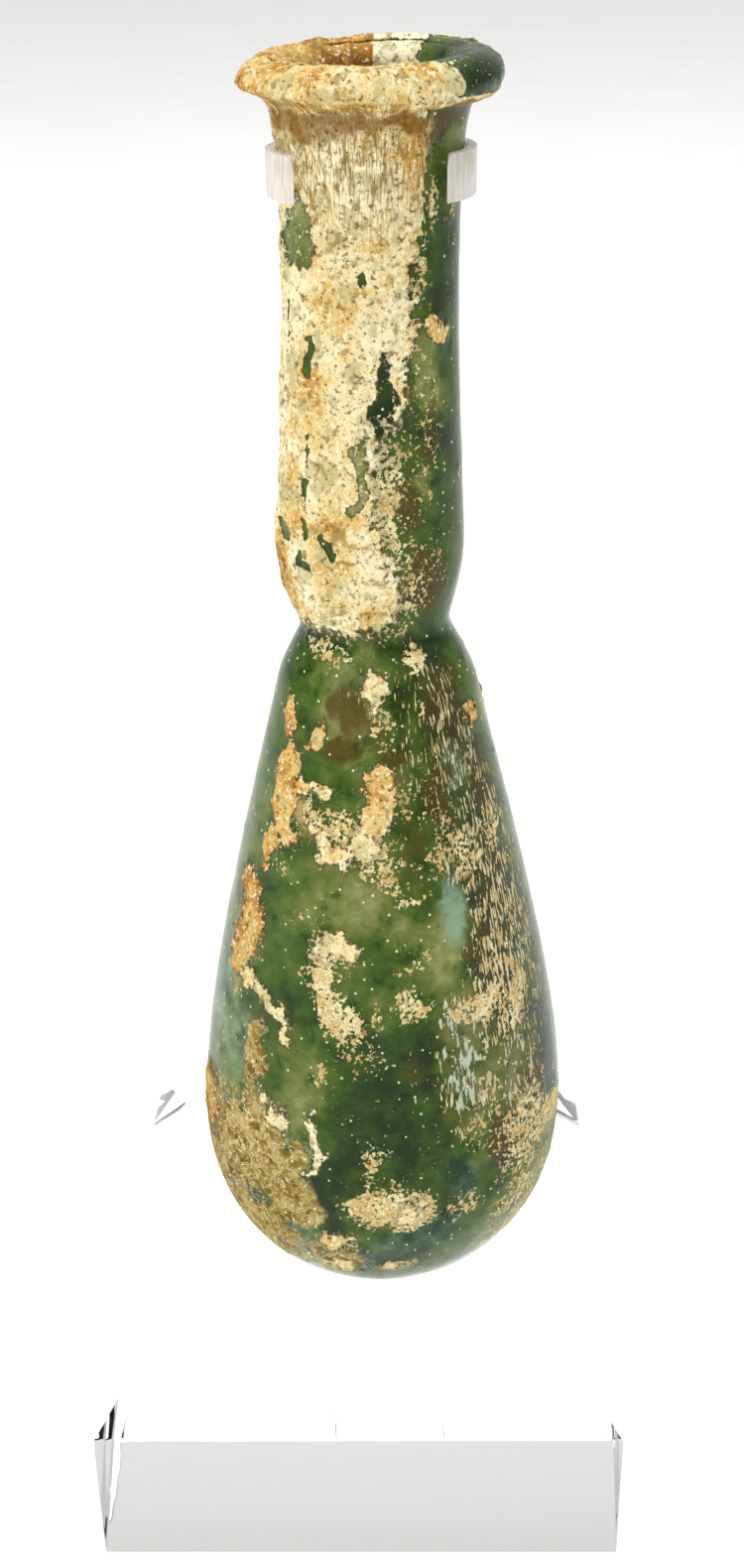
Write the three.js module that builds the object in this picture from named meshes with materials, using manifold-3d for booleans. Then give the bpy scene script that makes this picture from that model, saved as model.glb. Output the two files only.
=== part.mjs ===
// A pear-shaped Roman glass bottle (an unguentarium), free-blown, with a folded lip,
// standing on a clear acrylic block and steadied by an acrylic clip round its neck.
// Millimetres, +Z up. The origin is the middle of the block's underside, and -Y is the front.

import * as THREE from 'three';
import { mergeVertices } from 'three/addons/utils/BufferGeometryUtils.js';
import Module from 'manifold-3d';

const wasm = await Module();
wasm.setup();

// The block: 1 inch cast acrylic, its top edges cut back to a bevel.
const block = { width: 57, depth: 67, height: 25.4, bevelInset: 5.5, bevelRise: 8.2 };

// Pieces that touch keep this gap between their faces.
const touchGap = 0.3;

// The bottle's outline: a radius, and its height above the bottle's own underside.
const foot = { radius: 6.6, height: 0 };
const belly = { radius: 19.8, height: 18 };
const shoulder = { radius: 10, height: 69.5, slope: 0.24 };
const throat = { radius: 7.35, height: 75.8 };
const neckSwell = { radius: 8.85, height: 84 };
const neck = { radius: 8, height: 110 };
const neckTop = { radius: 8, height: 113 };
const lip = { middleRadius: 9.15, middleHeight: 126.55, halfWidth: 2.45, halfHeight: 2.25 };
const wall = 1.7;
const floorThickness = 2.8;
const roundSides = 48;

// A free-blown neck is never quite straight: how far the middle wanders along X.
const wander = [
  { height: 0, shift: -0.5 },
  { height: 26, shift: 0 },
  { height: 70, shift: 0 },
  { height: 90, shift: -0.25 },
  { height: 129, shift: 0.35 },
];

// Where the bottle stands on the block.
const bottlePlace = new THREE.Vector3(2.9, -7.5, block.height + touchGap);

// The clip: a plate lying flat, with a broken ring round the neck and a tongue to the post.
const clip = {
  thickness: 4,
  underside: 141.9,
  innerRadius: 8.55,
  ringWidth: 0.8,
  mouthHalfWidth: 6.6,
  tipRounding: 1.2,
  tongueWidth: 10.2,
  tongueEnd: 18.8,
};

// The post: a flat strip let into a slot behind the bottle.
const post = { middleX: 2, middleY: 16.6, width: 10.2, thickness: 4, rounding: 0.7 };
const slot = { depth: 5.4, airBelow: 1.6, rounding: 1 };

const glass = new THREE.MeshStandardMaterial({
  color: 0x5f7440,
  roughness: 0.42,
  metalness: 0,
  transparent: true,
  opacity: 0.9,
});

const acrylic = new THREE.MeshStandardMaterial({
  color: 0xf2f3ee,
  roughness: 0.05,
  metalness: 0,
  transparent: true,
  opacity: 0.35,
});

// ---- solids

function asSolid(geometry) {
  const bare = geometry.clone();
  bare.deleteAttribute('normal');
  bare.deleteAttribute('uv');
  const merged = mergeVertices(bare, 1e-4);
  const mesh = new wasm.Mesh({
    numProp: 3,
    vertProperties: new Float32Array(merged.attributes.position.array),
    triVerts: new Uint32Array(merged.index.array),
  });
  return new wasm.Manifold(mesh);
}

function asGeometry(solid) {
  const mesh = solid.getMesh();
  const geometry = new THREE.BufferGeometry();
  geometry.setAttribute('position', new THREE.BufferAttribute(mesh.vertProperties, 3));
  geometry.setIndex(new THREE.BufferAttribute(mesh.triVerts, 1));
  geometry.computeVertexNormals();
  return geometry;
}

function roundedStrip(width, thickness, rounding) {
  const x = width / 2 - rounding;
  const y = thickness / 2 - rounding;
  const outline = new THREE.Shape();
  outline.absarc(x, y, rounding, 0, Math.PI / 2);
  outline.absarc(-x, y, rounding, Math.PI / 2, Math.PI);
  outline.absarc(-x, -y, rounding, Math.PI, 1.5 * Math.PI);
  outline.absarc(x, -y, rounding, 1.5 * Math.PI, 2 * Math.PI);
  return outline;
}

function upright(outline, height, curveSegments) {
  return new THREE.ExtrudeGeometry(outline, { depth: height, bevelEnabled: false, curveSegments });
}

// ---- the bottle

// One side of the wall, from the underside up to the start of the flare: the outside with
// no inset, the inside with the wall's thickness as its inset.
function wallPath(inset, bottom) {
  const path = new THREE.Path();
  path.moveTo(0, bottom);
  path.lineTo(foot.radius, bottom);
  path.absellipse(
    foot.radius,
    belly.height,
    belly.radius - inset - foot.radius,
    belly.height - bottom,
    -Math.PI / 2,
    0,
  );
  path.bezierCurveTo(
    belly.radius - inset,
    belly.height + 13,
    shoulder.radius + shoulder.slope * 18 - inset,
    shoulder.height - 18,
    shoulder.radius - inset,
    shoulder.height,
  );
  path.bezierCurveTo(
    shoulder.radius - shoulder.slope * 2.5 - inset,
    shoulder.height + 2.5,
    throat.radius - inset,
    throat.height - 1.2,
    throat.radius - inset,
    throat.height,
  );
  path.bezierCurveTo(
    throat.radius - inset,
    throat.height + 1.4,
    neckSwell.radius - inset,
    neckSwell.height - 3.5,
    neckSwell.radius - inset,
    neckSwell.height,
  );
  path.bezierCurveTo(
    neckSwell.radius - inset,
    neckSwell.height + 8,
    neck.radius - inset,
    neck.height - 10,
    neck.radius - inset,
    neck.height,
  );
  return path;
}

// The flare and the folded lip: up under the lip, round over it, and down into the bore.
function lipPath() {
  const path = new THREE.Path();
  path.moveTo(neckTop.radius, neckTop.height);
  path.bezierCurveTo(
    neckTop.radius,
    neckTop.height + 6.5,
    neckTop.radius + 0.3,
    lip.middleHeight - lip.halfHeight - 1.6,
    lip.middleRadius,
    lip.middleHeight - lip.halfHeight,
  );
  path.absellipse(
    lip.middleRadius,
    lip.middleHeight,
    lip.halfWidth,
    lip.halfHeight,
    -Math.PI / 2,
    Math.PI,
  );
  path.quadraticCurveTo(
    neck.radius - wall,
    lip.middleHeight - 3,
    neck.radius - wall,
    neck.height + 8,
  );
  return path;
}

function bottleProfile() {
  const outside = wallPath(0, foot.height).getPoints(5);
  const overLip = lipPath().getPoints(5);
  const inside = wallPath(wall, floorThickness).getPoints(3).reverse();
  const points = [...outside, ...overLip, ...inside];
  return points.filter((p, i) => i === 0 || p.distanceTo(points[i - 1]) > 0.05);
}

function shiftAt(height) {
  const next = wander.findIndex((station) => station.height > height);
  const to = next < 0 ? wander.length - 1 : Math.max(next, 1);
  const from = to - 1;
  const span = wander[to].height - wander[from].height;
  const t = THREE.MathUtils.clamp((height - wander[from].height) / span, 0, 1);
  const eased = t * t * (3 - 2 * t);
  return THREE.MathUtils.lerp(wander[from].shift, wander[to].shift, eased);
}

function bottleGeometry() {
  const geometry = new THREE.LatheGeometry(bottleProfile(), roundSides);
  geometry.rotateX(Math.PI / 2);
  const position = geometry.attributes.position;
  for (let i = 0; i < position.count; i += 1) {
    position.setX(i, position.getX(i) + shiftAt(position.getZ(i)));
  }
  return geometry;
}

// ---- the stand

function blockGeometry() {
  const geometry = new THREE.BoxGeometry(block.width, block.depth, block.height, 1, 1, 2);
  const position = geometry.attributes.position;
  for (let i = 0; i < position.count; i += 1) {
    const z = position.getZ(i);
    if (Math.abs(z) < 1) {
      position.setZ(i, block.height / 2 - block.bevelRise);
    }
    if (z > 1) {
      position.setX(i, position.getX(i) - Math.sign(position.getX(i)) * block.bevelInset);
      position.setY(i, position.getY(i) - Math.sign(position.getY(i)) * block.bevelInset);
    }
  }
  geometry.translate(0, 0, block.height / 2);
  const hole = roundedStrip(
    post.width + 2 * touchGap,
    post.thickness + 2 * touchGap,
    slot.rounding,
  );
  const cutter = upright(hole, slot.depth + 5, 4);
  cutter.translate(post.middleX, post.middleY, block.height - slot.depth);
  return asGeometry(asSolid(geometry).subtract(asSolid(cutter)));
}

function postGeometry() {
  const bottom = block.height - slot.depth + slot.airBelow;
  const strip = roundedStrip(post.width, post.thickness, post.rounding);
  const geometry = upright(strip, clip.underside - touchGap - bottom, 4);
  geometry.translate(post.middleX, post.middleY, bottom);
  return geometry;
}

// The plate seen from above: a full ring on a tongue, before its mouth is cut open.
function clipPlate(neckX, neckY) {
  const outerRadius = clip.innerRadius + clip.ringWidth;
  const halfTongue = clip.tongueWidth / 2;
  const ring = new THREE.Shape();
  ring.absarc(neckX, neckY, outerRadius, 0, 2 * Math.PI);
  const tongue = new THREE.Shape();
  tongue.moveTo(post.middleX - halfTongue, neckY);
  tongue.lineTo(post.middleX + halfTongue, neckY);
  tongue.lineTo(post.middleX + halfTongue, clip.tongueEnd);
  tongue.lineTo(post.middleX - halfTongue, clip.tongueEnd);
  const bore = new THREE.Shape();
  bore.absarc(neckX, neckY, clip.innerRadius, 0, 2 * Math.PI);
  const plate = asSolid(upright(ring, clip.thickness, 24)).add(
    asSolid(upright(tongue, clip.thickness, 1)),
  );
  const drill = upright(bore, clip.thickness + 2, 24);
  drill.translate(0, 0, -1);
  return plate.subtract(asSolid(drill));
}

// The mouth seen from the front: straight sides that round outwards over each tip.
function clipMouth(neckX, neckY) {
  const half = clip.mouthHalfWidth;
  const r = clip.tipRounding;
  const top = clip.thickness;
  const outline = new THREE.Shape();
  outline.moveTo(-half, -1);
  outline.lineTo(half, -1);
  outline.absarc(half + r, top - r, r, Math.PI, Math.PI / 2, true);
  outline.lineTo(half + r, top + 1);
  outline.lineTo(-half - r, top + 1);
  outline.absarc(-half - r, top - r, r, Math.PI / 2, 0, true);
  const cutter = upright(outline, clip.innerRadius + clip.ringWidth, 5);
  cutter.rotateX(Math.PI / 2);
  cutter.translate(neckX, neckY - 1, 0);
  return asSolid(cutter);
}

function clipGeometry() {
  const neckX = bottlePlace.x + shiftAt(clip.underside - bottlePlace.z);
  const neckY = bottlePlace.y;
  const solid = clipPlate(neckX, neckY).subtract(clipMouth(neckX, neckY));
  const geometry = asGeometry(solid);
  geometry.translate(0, 0, clip.underside);
  return geometry;
}

// ---- the whole object

function piece(name, geometry, material) {
  const mesh = new THREE.Mesh(geometry, material);
  mesh.name = name;
  return mesh;
}

const bottle = piece('bottle', bottleGeometry(), glass);
bottle.position.copy(bottlePlace);

const romanBottleOnStand = new THREE.Group();
romanBottleOnStand.add(bottle);
romanBottleOnStand.add(piece('stand_block', blockGeometry(), acrylic));
romanBottleOnStand.add(piece('stand_post', postGeometry(), acrylic));
romanBottleOnStand.add(piece('neck_clip', clipGeometry(), acrylic));

export default romanBottleOnStand;
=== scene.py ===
import math

import bpy
import numpy as np
from mathutils import Matrix, Vector, noise


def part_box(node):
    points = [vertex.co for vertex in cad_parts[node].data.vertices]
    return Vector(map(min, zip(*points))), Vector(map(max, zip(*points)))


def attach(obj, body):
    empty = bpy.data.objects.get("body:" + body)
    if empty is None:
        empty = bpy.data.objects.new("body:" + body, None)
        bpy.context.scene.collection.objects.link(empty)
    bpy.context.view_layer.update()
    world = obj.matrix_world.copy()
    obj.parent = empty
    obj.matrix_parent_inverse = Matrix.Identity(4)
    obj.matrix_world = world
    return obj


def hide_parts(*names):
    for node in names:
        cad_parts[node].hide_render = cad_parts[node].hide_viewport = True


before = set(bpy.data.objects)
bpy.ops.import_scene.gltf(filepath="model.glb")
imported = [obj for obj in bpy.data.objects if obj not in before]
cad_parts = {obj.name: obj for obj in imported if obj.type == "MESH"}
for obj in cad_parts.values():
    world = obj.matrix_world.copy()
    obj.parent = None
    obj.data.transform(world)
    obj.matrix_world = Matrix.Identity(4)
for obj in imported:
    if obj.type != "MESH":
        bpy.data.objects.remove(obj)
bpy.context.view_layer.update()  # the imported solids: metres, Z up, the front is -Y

mm = 0.001


# Shared helpers

def fromHex(code):
    # an sRGB hex colour as the linear values that the shaders want
    parts = [int(code[i:i + 2], 16) / 255 for i in (1, 3, 5)]
    linear = [p / 12.92 if p <= 0.04045 else ((p + 0.055) / 1.055) ** 2.4 for p in parts]
    return (*linear, 1.0)


def addNode(tree, kind, links=None, stops=None, **settings):
    # one node: its settings by name, and its inputs as values, hex colours or sockets to link
    node = tree.nodes.new(kind)
    for name, value in settings.items():
        setattr(node, name, value)
    for key, value in (links or {}).items():
        if isinstance(value, bpy.types.NodeSocket):
            tree.links.new(value, node.inputs[key])
        else:
            plain = fromHex(value) if isinstance(value, str) else value
            node.inputs[key].default_value = plain
    if stops:
        ramp = node.color_ramp
        while len(ramp.elements) < len(stops):
            ramp.elements.new(0.5)
        for element, (position, code) in zip(ramp.elements, stops):
            element.position = position
            element.color = fromHex(code)
    return node


def newMaterial(name):
    material = bpy.data.materials.new(name)
    material.use_nodes = True
    material.node_tree.nodes.clear()
    return material, material.node_tree


def selectOnly(piece):
    bpy.ops.object.select_all(action="DESELECT")
    piece.select_set(True)
    bpy.context.view_layer.objects.active = piece


def pick(piece, test, kind):
    # in edit mode, selects the edges or faces whose corners all pass the test (places in mm)
    bpy.ops.mesh.select_mode(type=kind)
    bpy.ops.mesh.select_all(action="DESELECT")
    bpy.ops.object.mode_set(mode="OBJECT")
    mesh = piece.data
    for item in mesh.edges if kind == "EDGE" else mesh.polygons:
        places = [piece.matrix_world @ mesh.vertices[i].co / mm for i in item.vertices]
        item.select = all(test(place) for place in places)
    bpy.ops.object.mode_set(mode="EDIT")


def applyModifiers(piece):
    selectOnly(piece)
    for modifier in list(piece.modifiers):
        bpy.ops.object.modifier_apply(modifier=modifier.name)


def settle(piece):
    # moves a piece's place and size into its mesh
    selectOnly(piece)
    bpy.ops.object.transform_apply(location=True, rotation=True, scale=True)


def cutOrJoin(piece, other, operation):
    tool = piece.modifiers.new(operation.title(), "BOOLEAN")
    tool.operation = operation
    tool.solver = "EXACT"
    tool.object = other
    applyModifiers(piece)
    bpy.data.objects.remove(other, do_unlink=True)


def polishEdges(piece, width, segments=2, angle=30):
    edge = piece.modifiers.new("Bevel", "BEVEL")
    edge.width = width * mm
    edge.segments = segments
    edge.limit_method = "ANGLE"
    edge.angle_limit = math.radians(angle)
    edge.harden_normals = False
    applyModifiers(piece)


def addBox(name, low, high):
    # a cube primitive between two corners, given in mm
    middle = [(a + b) / 2 * mm for a, b in zip(low, high)]
    size = [(b - a) * mm for a, b in zip(low, high)]
    bpy.ops.object.select_all(action="DESELECT")
    bpy.ops.mesh.primitive_cube_add(size=1, location=middle, scale=size)
    piece = bpy.context.object
    piece.name = name
    settle(piece)
    return piece


def addRod(name, middleX, middleY, radius, low, high, sides=96):
    bpy.ops.object.select_all(action="DESELECT")
    bpy.ops.mesh.primitive_cylinder_add(
        vertices=sides, radius=radius * mm, depth=(high - low) * mm,
        location=(middleX * mm, middleY * mm, (low + high) / 2 * mm))
    piece = bpy.context.object
    piece.name = name
    settle(piece)
    return piece


# Camera, floor and light

camera = {
    "place": (5.8, -177.4, 168.5),  # mm
    "pitchDown": 26.76,
    "turnLeft": 1.21,
    "roll": -0.99,
    "lens": 42.15,
}

studio = {
    "floorRadius": 6.0,  # metres
    "airUnder": 0.0002,  # the hair's breadth of air that lies under any block
    "floorColour": "#fbfbfa",
    "skyStops": [(0.0, "#c6c6c3"), (0.3, "#e6e5e3"), (0.8, "#ffffff")],  # horizon to overhead
    "skyStrength": 0.88,
    "lamps": [  # soft boxes: name, place and size in metres, watts
        ("overhead", (0.1, 0.1, 1.3), 1.2, 8.0),
        ("front_left", (-0.9, -0.7, 1.0), 0.6, 9.0),
        ("right", (1.1, -0.3, 0.6), 0.8, 1.0),
    ],
    "aim": (0, 0, 0.07),  # what the lamps point at
}


def makeCamera():
    data = bpy.data.cameras.new("camera")
    data.lens = camera["lens"]
    data.sensor_width = 36
    data.clip_start = 0.01
    data.clip_end = 50
    data.dof.use_dof = False
    eye = bpy.data.objects.new("camera", data)
    bpy.context.scene.collection.objects.link(eye)
    turn = Matrix.Rotation(math.radians(camera["turnLeft"]), 4, "Z")
    tip = Matrix.Rotation(math.radians(90 - camera["pitchDown"]), 4, "X")
    roll = Matrix.Rotation(math.radians(camera["roll"]), 4, "Z")
    eye.matrix_world = Matrix.Translation(Vector(camera["place"]) * mm) @ turn @ tip @ roll
    bpy.context.scene.camera = eye


def floorPaint():
    # matt white laminate: smooth, hardly glossy, with a faint unevenness in the tone
    material, tree = newMaterial("matt_white_laminate")
    place = addNode(tree, "ShaderNodeTexCoord").outputs["Object"]
    mottle = addNode(tree, "ShaderNodeTexNoise", {"Vector": place, "Scale": 12.0, "Detail": 2.0})
    tone = addNode(tree, "ShaderNodeValToRGB", {0: mottle.outputs[0]},
                   stops=[(0.3, "#f8f8f7"), (0.7, studio["floorColour"])])
    shader = addNode(tree, "ShaderNodeBsdfPrincipled", {
        "Base Color": tone.outputs[0], "Roughness": 0.55, "Specular IOR Level": 0.2})
    addNode(tree, "ShaderNodeOutputMaterial", {"Surface": shader.outputs[0]})
    return material


def makeStudio():
    bpy.ops.object.select_all(action="DESELECT")
    bpy.ops.mesh.primitive_circle_add(vertices=96, radius=studio["floorRadius"], fill_type="NGON",
                                      location=(0, 0, -studio["airUnder"]))
    floor = bpy.context.object
    floor.name = "floor"
    floor.data.materials.append(floorPaint())

    # a white tent, brightest overhead
    world = bpy.data.worlds.new("studio")
    world.use_nodes = True
    tree = world.node_tree
    tree.nodes.clear()
    direction = addNode(tree, "ShaderNodeTexCoord").outputs["Generated"]
    rise = addNode(tree, "ShaderNodeSeparateXYZ", {0: direction}).outputs["Z"]
    tent = addNode(tree, "ShaderNodeValToRGB", {0: rise}, stops=studio["skyStops"])
    sky = addNode(tree, "ShaderNodeBackground", {
        "Color": tent.outputs[0], "Strength": studio["skyStrength"]})
    addNode(tree, "ShaderNodeOutputWorld", {"Surface": sky.outputs[0]})
    bpy.context.scene.world = world
    bpy.context.scene.view_settings.view_transform = "Standard"

    for name, place, size, power in studio["lamps"]:
        bpy.ops.object.light_add(type="AREA", location=place)
        lamp = bpy.context.object
        lamp.name = name
        lamp.data.shape = "SQUARE"
        lamp.data.size = size
        lamp.data.energy = power
        aim = Vector(studio["aim"]) - Vector(place)
        lamp.rotation_euler = aim.to_track_quat("-Z", "Y").to_euler()


makeCamera()
makeStudio()
print("camera, floor and lights")


# The glass bottle

bottle = {
    "middle": (2.9, -7.5),  # mm, where it stands on the block
    "spacing": 0.48,  # mm between the rings of the outside
    "insideSpacing": 3.0,
    "turns": 256,  # steps round
    "foot": (6.6, 0.0),  # a radius and a height
    "belly": (19.8, 18.0),
    "shoulder": (10.0, 69.5),
    "shoulderSlope": 0.24,
    "throat": (7.35, 75.8),
    "neckSwell": (8.85, 84.0),
    "neck": (8.0, 110.0),
    "neckTop": (8.0, 113.0),
    "lip": (9.15, 126.55),
    "lipHalf": (2.45, 2.1),
    "wall": 1.7,
    "floorThickness": 2.8,
    # how far the axis wanders along X: heights, and the shift there
    "wanderHeights": (0, 26, 70, 90, 129),
    "wanderShifts": (-0.5, 0, 0, -0.25, 0.35),
    "crustThickness": 0.3,
    "wrapRadius": 14.0,
    "degreesPerRadian": 57.3,
    "bareLip": (38, 118),  # the glossy length of the lip, in degrees from the front
    "bareTop": (26, 148),  # the same on the lip's upper side
}


def cubic(start, first, second, end, steps=24):
    t = np.linspace(0, 1, steps + 1)[:, None]
    start, first, second, end = (np.array(p, float) for p in (start, first, second, end))
    return (start * (1 - t) ** 3 + 3 * first * t * (1 - t) ** 2
            + 3 * second * t ** 2 * (1 - t) + end * t ** 3)


def roundArc(middle, half, fromAngle, toAngle, steps=36):
    a = np.radians(np.linspace(fromAngle, toAngle, steps + 1))
    return np.stack([middle[0] + half[0] * np.cos(a), middle[1] + half[1] * np.sin(a)], 1)


def wallPath(inset, bottom):
    # the wall from the middle of the underside up to the start of the flare
    foot, belly, shoulder = bottle["foot"], bottle["belly"], bottle["shoulder"]
    throat, swell, neck = bottle["throat"], bottle["neckSwell"], bottle["neck"]
    slope = bottle["shoulderSlope"]
    return np.vstack([
        [(0, bottom)],
        roundArc((foot[0], belly[1]), (belly[0] - inset - foot[0], belly[1] - bottom), -90, 0),
        cubic((belly[0] - inset, belly[1]), (belly[0] - inset, belly[1] + 13),
              (shoulder[0] + slope * 18 - inset, shoulder[1] - 18),
              (shoulder[0] - inset, shoulder[1]), 60),
        cubic((shoulder[0] - inset, shoulder[1]),
              (shoulder[0] - slope * 2.5 - inset, shoulder[1] + 2.5),
              (throat[0] - inset, throat[1] - 1.2), (throat[0] - inset, throat[1])),
        cubic((throat[0] - inset, throat[1]), (throat[0] - inset, throat[1] + 1.4),
              (swell[0] - inset, swell[1] - 3.5), (swell[0] - inset, swell[1])),
        cubic((swell[0] - inset, swell[1]), (swell[0] - inset, swell[1] + 8),
              (neck[0] - inset, neck[1] - 10), (neck[0] - inset, neck[1]), 36),
    ])


def lipPath():
    # the flare, round over the folded lip, and down into the bore
    top, lip, half = bottle["neckTop"], bottle["lip"], bottle["lipHalf"]
    bore = bottle["neck"][0] - bottle["wall"]
    return np.vstack([
        cubic(top, (top[0], top[1] + 6.5), (top[0] + 0.3, lip[1] - half[1] - 1.6),
              (lip[0], lip[1] - half[1])),
        roundArc(lip, half, -90, 180, 60),
        cubic((lip[0] - half[0], lip[1]), (bore + 0.1, lip[1] - 2),
              (bore, lip[1] - 4), (bore, bottle["neck"][1] + 6)),
    ])


def evenly(points, spacing):
    # the same path with points at an even spacing
    steps = np.hypot(*np.diff(points, axis=0).T)
    keep = np.concatenate([[True], steps > 1e-6])
    points = points[keep]
    along = np.concatenate([[0], np.cumsum(np.hypot(*np.diff(points, axis=0).T))])
    at = np.linspace(0, along[-1], max(2, round(along[-1] / spacing) + 1))
    return np.stack([np.interp(at, along, points[:, 0]), np.interp(at, along, points[:, 1])], 1)


def bottleProfile():
    outside = evenly(np.vstack([wallPath(0, 0), lipPath()]), bottle["spacing"])
    inside = evenly(wallPath(bottle["wall"], bottle["floorThickness"])[::-1],
                    bottle["insideSpacing"])
    return outside, inside


def spinProfile(points):
    # a single vertex is extruded along the profile, the line is spun a quarter turn round the
    # axis, and the quarter is mirrored twice
    bpy.ops.object.select_all(action="DESELECT")
    bpy.ops.mesh.primitive_plane_add(size=0.0001, location=(0, 0, 0))
    piece = bpy.context.object
    piece.name = "glass_bottle"
    bpy.ops.object.mode_set(mode="EDIT")
    bpy.ops.mesh.select_all(action="SELECT")
    bpy.ops.mesh.merge(type="CENTER")
    for before, after in zip(points[:-1], points[1:]):
        step = ((after[0] - before[0]) * mm, 0, (after[1] - before[1]) * mm)
        bpy.ops.mesh.extrude_vertices_move(TRANSFORM_OT_translate={"value": step})
    bpy.ops.mesh.select_all(action="SELECT")
    bpy.ops.mesh.spin(steps=bottle["turns"] // 4, angle=math.pi / 2, center=(0, 0, 0),
                      axis=(0, 0, 1))
    bpy.ops.object.mode_set(mode="OBJECT")
    others = piece.modifiers.new("Mirror", "MIRROR")
    others.use_axis = (True, True, False)
    others.merge_threshold = 0.00002
    applyModifiers(piece)
    bpy.ops.object.mode_set(mode="EDIT")
    bpy.ops.mesh.select_all(action="SELECT")
    bpy.ops.mesh.remove_doubles(threshold=0.00002)
    bpy.ops.mesh.normals_make_consistent(inside=False)
    bpy.ops.object.mode_set(mode="OBJECT")
    return piece


def grain(points, size, octaves=3, shift=0.0):
    # fractal noise from about -1 to 1, with lumps of that size in mm
    places = (points / size + shift).tolist()
    return np.array([noise.fractal(p, 0.8, 2.0, octaves) for p in places])


def smooth(values, low, high):
    t = np.clip((values - low) / (high - low), 0, 1)
    return t * t * (3 - 2 * t)


def turnGap(turn, target):
    return (turn - target + 180) % 360 - 180


def patches(turn, height, shapes):
    # how deep inside its nearest patch a point lies, and that patch's last value
    depth = np.full(len(turn), -3.0)
    value = np.zeros(len(turn))
    for atTurn, atHeight, halfTurn, halfHeight, lean, tone in shapes:
        across = turnGap(turn, atTurn + lean * (height - atHeight)) / halfTurn
        inside = 1 - np.hypot(across, (height - atHeight) / halfHeight)
        value = np.where(inside > depth, tone, value)
        depth = np.maximum(depth, inside)
    return depth, value


# Lime crust on the neck: how far round to the right the sheet reaches, at each height.
neckSheet = {
    "heights": (75.5, 77, 79.5, 83, 85, 90, 96, 98.5, 102.5, 104.5, 107.5, 109, 112.5, 114, 116,
                121, 125),
    "rightEdge": (4, 10, 20, 16, 9, 8, 14, 20, 24, 30, 40, 44, 40, 42, 56, 60, 64),
    "leftEdge": -148,
    "bottom": 76.3,
    "fade": 3,  # mm from its edge to where it is whole
}

# Where the sheet is ochre rather than cream: turn, height, half turn, half height, lean, warmth.
sheetWarmPatches = [
    (-25, 107.5, 18, 2.5, 0, 0.9),
    (-48, 100, 16, 4.5, 0, 1),
    (-55, 92, 8, 3, 0, 0.8),
    (-74, 82, 14, 4, 0, 1.4),
    (0, 78.5, 8, 1.5, 0, 1),
    (-55, 97, 10, 2, 0, 1),
    (-28, 84, 16, 5, 0, 0.9),
    (-60, 88, 12, 3, 0, 0.8),
    (30, 121.5, 20, 2, 0, 1),
    (-10, 104, 8, 2, 0, 0.6),
    (28, 111, 10, 2, 0, 0.9),
]

# Lumps that stand out from the neck: turn, height, size and rise in mm.
neckLumps = [
    (-84, 83.5, 2.2, 0.45),
    (-88, 80.5, 1.8, 0.5),
    (-80, 78.5, 1.6, 0.3),
    (-95, 86, 2.2, 0.4),
    (-86, 98, 2.5, 0.15),
    (45, 105.3, 1.4, 0.2),
]

# Flakes of crust with crisp outlines. Turn from the front (degrees, + is right), height (mm),
# half turn, half height, lean (degrees for each mm up), warmth (0 cream, 0.5 ochre, 1 brown).
crustFlakes = [
    (45, 105.3, 10, 1.2, 0, 0.5),
    (1, 71.8, 7, 1.8, 0, 0.3),
    (-53, 67.8, 4, 2.2, -1, 0.62),
    (-33, 67.0, 4, 2.0, 2, 0.55),
    (-48, 62.5, 10, 3.0, 0, 0.62),
    (-46, 59, 9, 4.0, 0, 0.6),
    (-52, 54.5, 4, 3.0, 0, 0.66),
    (-36, 61.3, 6, 1.3, 0, 0.55),
    (-27, 61.6, 5, 0.7, 0, 0.4),
    (-29, 57.8, 4, 1.6, -3, 0.35),
    (-22, 55.8, 7, 1.5, -3, 0.25),
    (2, 63, 12, 1.7, 0, 0.5),
    (1, 60, 8, 2.6, 0, 0.5),
    (-8, 56.4, 7, 1.9, 0, 0.35),
    (-61, 48.5, 8, 2.6, 0, 0.72),
    (-57, 45, 7, 3.2, 1, 0.66),
    (-62, 41.3, 7, 2.4, 0, 0.7),
    (-50, 39.3, 9, 0.8, -3, 0.4),
    (-38, 38.3, 6, 0.8, -4, 0.35),
    (-31, 36.3, 2.5, 1.3, -2, 0.35),
    (-16, 46.4, 8, 1.3, 0, 0.3),
    (60, 67.5, 3, 1.8, 0, 0.6),
    (-20.5, 24.3, 2.2, 4.6, 0, 0.1),
    (-35, 26.8, 6, 1.5, -2, 0.25),
    (-12, 12.2, 6, 1.2, 0, 0.45),
    (-14, 8, 7, 1.3, 0, 0.4),
    (3, 8.8, 4, 0.8, 0, 0.35),
    (9, 17.5, 3.5, 1.4, 0, 0.3),
    (-73, 22, 10, 4, 0, 0.75),
    # plainer ones round the back, where the bottle lay in the soil
    (150, 55, 20, 4, 0, 0.55),
    (-150, 62, 14, 3.2, 0, 0.4),
    (-120, 38, 14, 5, 0, 0.6),
    (175, 30, 16, 5, 0, 0.45),
    (-110, 16, 18, 5, 0, 0.7),
    (-165, 12, 20, 4, 0, 0.5),
    (112, 66, 9, 3, 0, 0.4),
]

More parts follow.
